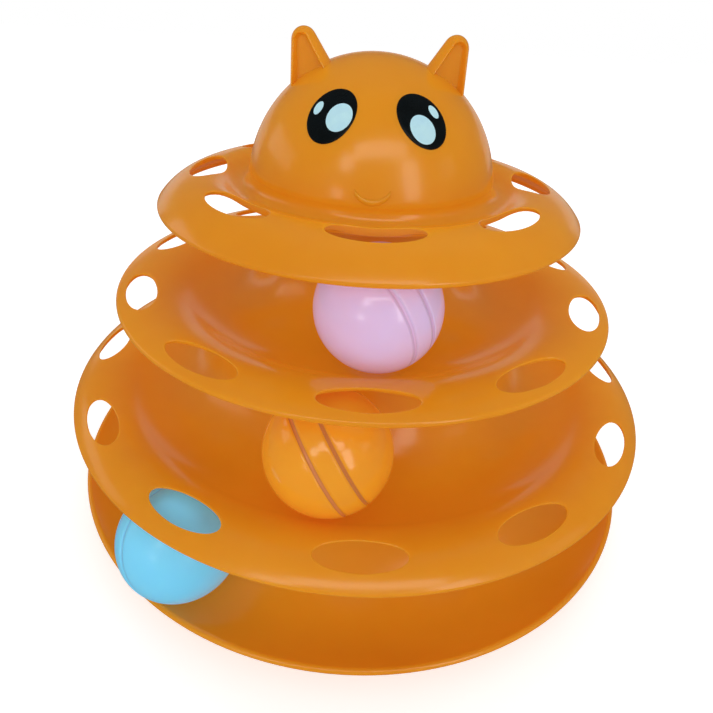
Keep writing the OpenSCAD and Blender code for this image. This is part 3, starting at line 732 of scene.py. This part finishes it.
def facing(side_turn, up, lean=0.0):
    """Turns the XY plane to face outward from the head's middle."""
    return (Matrix.Translation((0, 0, HEAD_H)) @ Matrix.Rotation(side_turn, 4, "Z")
            @ Matrix.Rotation(math.pi / 2 - up, 4, "X") @ Matrix.Rotation(lean, 4, "Z"))


def skin_patch(name, place, centre, size, thick, material, replaced):
    """Oval sticker on the head, with a rounded edge."""
    verts = []
    for share, lift in STICKER_RINGS:
        r = HEAD_R + thick * lift
        for j in range(STICKER_COLUMNS):
            a = 2 * math.pi * j / STICKER_COLUMNS
            x = centre[0] + size[0] / 2 * share * math.cos(a)
            y = centre[1] + size[1] / 2 * share * math.sin(a)
            verts.append(place @ Vector((x, y, math.sqrt(r * r - x * x - y * y))))
    faces = grid_faces(len(STICKER_RINGS), STICKER_COLUMNS, wrap=True)
    new_piece(name, verts, faces, material, "head", replaced)


def eyes():
    """Both eye stickers with their highlights."""
    for side_name, (side, lean, large_place) in EYES.items():
        eye = side_name + "_eye"
        place = facing(FACE_TURN + side * EYE_SIDE, EYE_UP, side * lean)
        large = (-side * large_place[0], -large_place[1])
        small = (side * SMALL_GLINT_PLACE[0], SMALL_GLINT_PLACE[1])
        skin_patch(eye + "_sticker", place, (0, 0), EYE_SIZE, STICKER_T, BLACK, (eye,))
        skin_patch(eye + "_large_highlight", place, large, LARGE_GLINT, GLINT_T, PALE,
                   (eye + "_highlights",))
        skin_patch(eye + "_small_highlight", place, small, SMALL_GLINT, GLINT_T, PALE, ())


def smile():
    """Raised crescent below the middle of the face."""
    place = facing(FACE_TURN, SMILE_UP)
    reach = math.asin(1 - SMILE_T / 2 / SMILE_R)
    verts = []
    for i in range(SMILE_ROWS):
        a = -math.pi / 2 + reach * SMILE_REACH_SHARE * (2 * i / (SMILE_ROWS - 1) - 1)
        x = SMILE_R * math.cos(a)
        y_low = SMILE_R * math.sin(a)
        y_high = SMILE_T - math.sqrt(SMILE_R ** 2 - x ** 2)
        taper = min(1.0, abs(y_high - y_low) / SMILE_TAPER_W)
        for j in range(SMILE_COLUMNS):
            share = j / (SMILE_COLUMNS - 1)
            lift = math.sin(math.pi * share) ** SMILE_FULLNESS * SMILE_OUT * taper - SMILE_SINK
            y = y_low + (y_high - y_low) * share
            r = HEAD_R + lift
            verts.append(place @ Vector((x, y, math.sqrt(r * r - x ** 2 - y * y))))
    faces = grid_faces(SMILE_ROWS, SMILE_COLUMNS)
    new_piece("smile", verts, faces, AMBER, "head", ())


# Balls
BALL_R = 22 * MM
BALL_WALL = 1.6 * MM
BAND_W = 8 * MM
GROOVE_W = 1.3 * MM
GROOVE_D = 0.35 * MM
ROLL_GAP = 0.3 * MM
LAP_PLAY = 0.05 * MM
# How near a face lies to the groove's middle and floor to take the painted shade of the seam's groove
GROOVE_SHADE_REACH = GROOVE_W * 0.6
GROOVE_SHADE_DEPTH = GROOVE_D * 0.4
# Track, place round it, turn and lean of the seam's axis, both in degrees, the ball's look and the
# painted shade of its grooves
BALLS = {
    "blue": (BASE_TRACK, -125.5, (-48.7, 62), BLUE, BLUE_GROOVE_SHADE),
    "orange": (LOWER_TRACK, -97.7, (16.3, 63.9), ORANGE, ORANGE_GROOVE_SHADE),
    "pink": (MIDDLE_TRACK, -86.9, (39.9, 72.5), PINK, PINK_GROOVE_SHADE),
}


def ball_half(name, place, path, material, seam, body, replaced):
    """One turned half of a ball, its grooves in a darker colour that paints the shade in them."""
    verts, faces = lathe(path, BALL_COLUMNS, closed=True)
    placed = [place @ Vector(v) for v in verts]
    piece = new_piece(name, placed, faces, material, body, (replaced,))
    # second slot: painted shade for the seam grooves
    piece.data.materials.append(seam)
    back = place.inverted()
    edge = math.sqrt(BALL_R ** 2 - BAND_W ** 2 / 4) - GROOVE_SHADE_DEPTH
    for polygon in piece.data.polygons:
        c = back @ polygon.center
        near = abs(abs(c.z) - BAND_W / 2) < GROOVE_SHADE_REACH
        if near and math.hypot(c.x, c.y) < edge and c.length > BALL_R - BALL_WALL / 2:
            polygon.material_index = 1


def ball(colour):
    """Both halves of one ball, turned as the ball has rolled."""
    track, turn, seam_turn, material, seam = BALLS[colour]
    around = math.radians(turn)
    height = track[1] + ROLL_GAP + BALL_R
    centre = Vector((track[0] * math.cos(around), track[0] * math.sin(around), height))
    place = (Matrix.Translation(centre) @ Matrix.Rotation(math.radians(seam_turn[0]), 4, "Z")
             @ Matrix.Rotation(math.radians(seam_turn[1]), 4, "Y"))
    edge = BAND_W / 2
    half_groove = GROOVE_W / 2
    inner_r = BALL_R - BALL_WALL
    band_edge_r = math.sqrt(BALL_R ** 2 - edge ** 2)
    groove_r = band_edge_r - GROOVE_D
    lap_r = (inner_r + band_edge_r) / 2
    start = math.asin((edge + half_groove) / BALL_R)
    inner_start = math.asin(edge / inner_r)
    lip_end = edge - LAP_PLAY
    pole = math.pi / 2
    cap = arc((0, 0), BALL_R, start, pole)
    bowl = arc((0, 0), inner_r, pole, -math.asin(lip_end / inner_r))
    plain = [(groove_r, edge), (groove_r, edge + half_groove)] + cap + bowl
    plain += [(lap_r - LAP_PLAY, -lip_end), (lap_r - LAP_PLAY, edge)]
    body = colour + "_ball"
    shell = body + "_"
    ball_half(shell + "plain_shell", place, plain, material, seam, body, shell + "plain_half")
    band_end = math.asin((edge - half_groove) / BALL_R)
    band = arc((0, 0), BALL_R, band_end, -band_end)
    cap = arc((0, 0), BALL_R, -start, -pole)
    bowl = arc((0, 0), inner_r, -pole, -inner_start)
    banded = [(lap_r, edge), (groove_r, edge), (groove_r, edge - half_groove)] + band
    banded += [(groove_r, half_groove - edge), (groove_r, -edge - half_groove)]
    banded += cap + bowl + [(lap_r, -edge)]
    ball_half(shell + "banded_shell", place, banded, material, seam, body, shell + "banded_half")
    for part, look in (("bell", BELL), ("pellet", PELLET)):
        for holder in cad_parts[shell + part].material_slots:
            holder.material = look


base_tray()
lower_disc()
middle_disc()
head_top()
ear(-1, "left_ear")
ear(1, "right_ear")
eyes()
smile()
for colour in BALLS:
    ball(colour)


# Stage and light
FLOOR_HALF = 3.0
FLOOR_COLOURS = ((0.80, 0.80, 0.80, 1), (0.83, 0.83, 0.83, 1))
FLOOR_GLOW = 0.55
HORIZON_LEVEL = 0.7
ZENITH_LEVEL = 0.55
HORIZON_Z = 0.2
ZENITH_Z = 0.8
REFLECTED_LEVEL = 0.12
WHITE = (1, 1, 1, 1)
SKY_COLOUR = (1.0, 0.98, 0.96, 1)
REFLECTED_COLOUR = (1.0, 0.97, 0.92, 1)
MIDDLE = (0, 0, 0.1)
WARM = (1.0, 0.97, 0.94)
COOL = (0.95, 0.98, 1.0)
# Lamps that light the toy and aren't mirrored in it: place, size, power and colour
LAMPS = {
    "front_left": ((-0.75, -1.15, 0.62), (0.6, 0.6), 2.3, WARM),
    "front_right": ((0.6, -1.2, 0.62), (0.6, 0.6), 2.3, WARM),
    "sky": ((0.1, 0.7, 1.5), (1.4, 1.2), 5.5, COOL),
}
# Pale surroundings that are only mirrored, a house front with its walls and the sides of the
# place: place, size and level
PANELS = {
    "front_wall": ((0.15, -1.2, 1.4), (1.35, 0.42), 2.8),
    "left_wall": ((-0.6, -1.2, 1.0), (0.34, 0.36), 2.8),
    "left_step": ((-0.72, -1.2, 0.3), (0.26, 0.2), 2.8),
    "right_wall": ((0.85, -1.2, 0.66), (0.4, 0.88), 2.8),
    "left_side": ((-1.2, 0.25, 0.5), (0.9, 0.3), 0.8),
    "right_side": ((1.2, -0.35, 0.6), (0.4, 0.3), 0.4),
    "backdrop": ((0, 1.2, 0.2), (2.6, 0.4), 0.4),
}


def add_floor():
    """Plain pale floor that shows white where nothing shades it."""
    half = FLOOR_HALF
    corners = [(-half, -half, 0), (half, -half, 0), (half, half, 0), (-half, half, 0)]
    mesh = bpy.data.meshes.new("floor")
    mesh.from_pydata(corners, [], [(0, 1, 2, 3)])
    floor = bpy.data.objects.new("floor", mesh)
    bpy.context.scene.collection.objects.link(floor)
    made = Nodes("floor")
    tree = made.tree
    made.drive("Base Color", made.blend(made.noise(3, 2, 0.5), *FLOOR_COLOURS))
    made.fix(Roughness=0.9, Specular_IOR_Level=0.1)
    glow = tree.nodes.new("ShaderNodeEmission")
    glow.inputs["Color"].default_value = WHITE
    glow.inputs["Strength"].default_value = FLOOR_GLOW
    add = tree.nodes.new("ShaderNodeAddShader")
    seen = tree.nodes.new("ShaderNodeLightPath")
    mix = tree.nodes.new("ShaderNodeMixShader")
    tree.links.new(made.shader.outputs["BSDF"], add.inputs[0])
    tree.links.new(glow.outputs["Emission"], add.inputs[1])
    tree.links.new(seen.outputs["Is Camera Ray"], mix.inputs["Fac"])
    tree.links.new(made.shader.outputs["BSDF"], mix.inputs[1])
    tree.links.new(add.outputs["Shader"], mix.inputs[2])
    tree.links.new(mix.outputs["Shader"], tree.nodes["Material Output"].inputs["Surface"])
    mesh.materials.append(made.material)
    floor.visible_glossy = False


def add_world():
    """Soft white surroundings, white to the camera and dimmer in reflections."""
    world = bpy.data.worlds.new("world")
    bpy.context.scene.world = world
    world.use_nodes = True
    tree = world.node_tree
    soft = tree.nodes["Background"]
    soft.inputs["Color"].default_value = SKY_COLOUR
    direction = tree.nodes.new("ShaderNodeTexCoord").outputs["Generated"]
    split = tree.nodes.new("ShaderNodeSeparateXYZ")
    tree.links.new(direction, split.inputs["Vector"])
    level = tree.nodes.new("ShaderNodeMapRange")
    level.inputs["From Min"].default_value = HORIZON_Z
    level.inputs["From Max"].default_value = ZENITH_Z
    level.inputs["To Min"].default_value = HORIZON_LEVEL
    level.inputs["To Max"].default_value = ZENITH_LEVEL
    tree.links.new(split.outputs["Z"], level.inputs["Value"])
    tree.links.new(level.outputs["Result"], soft.inputs["Strength"])
    seen = tree.nodes.new("ShaderNodeLightPath")
    result = soft.outputs["Background"]
    for ray, colour, strength in (
        ("Is Glossy Ray", REFLECTED_COLOUR, REFLECTED_LEVEL),
        ("Is Camera Ray", WHITE, 1.0),
    ):
        other = tree.nodes.new("ShaderNodeBackground")
        other.inputs["Color"].default_value = colour
        other.inputs["Strength"].default_value = strength
        mix = tree.nodes.new("ShaderNodeMixShader")
        tree.links.new(seen.outputs[ray], mix.inputs["Fac"])
        tree.links.new(result, mix.inputs[1])
        tree.links.new(other.outputs["Background"], mix.inputs[2])
        result = mix.outputs["Shader"]
    tree.links.new(result, tree.nodes["World Output"].inputs["Surface"])


def add_lamp(name, place, size, power, colour, reflected):
    """A soft rectangular lamp that looks at the toy, and either lights it or is mirrored in it."""
    data = bpy.data.lights.new(name, "AREA")
    data.shape = "RECTANGLE"
    data.size = size[0]
    data.size_y = size[1]
    data.energy = power
    data.color = colour
    lamp = bpy.data.objects.new(name, data)
    lamp.location = place
    lamp.rotation_euler = (Vector(MIDDLE) - Vector(place)).to_track_quat("-Z", "Y").to_euler()
    lamp.visible_diffuse = not reflected
    lamp.visible_glossy = reflected
    bpy.context.scene.collection.objects.link(lamp)


add_floor()
add_world()
for name, (place, size, power, colour) in LAMPS.items():
    add_lamp(name, place, size, power, colour, reflected=False)
for name, (place, size, level) in PANELS.items():
    add_lamp(name, place, size, level * math.pi * size[0] * size[1], WARM, reflected=True)

scene = bpy.context.scene
scene.view_settings.view_transform = "Standard"
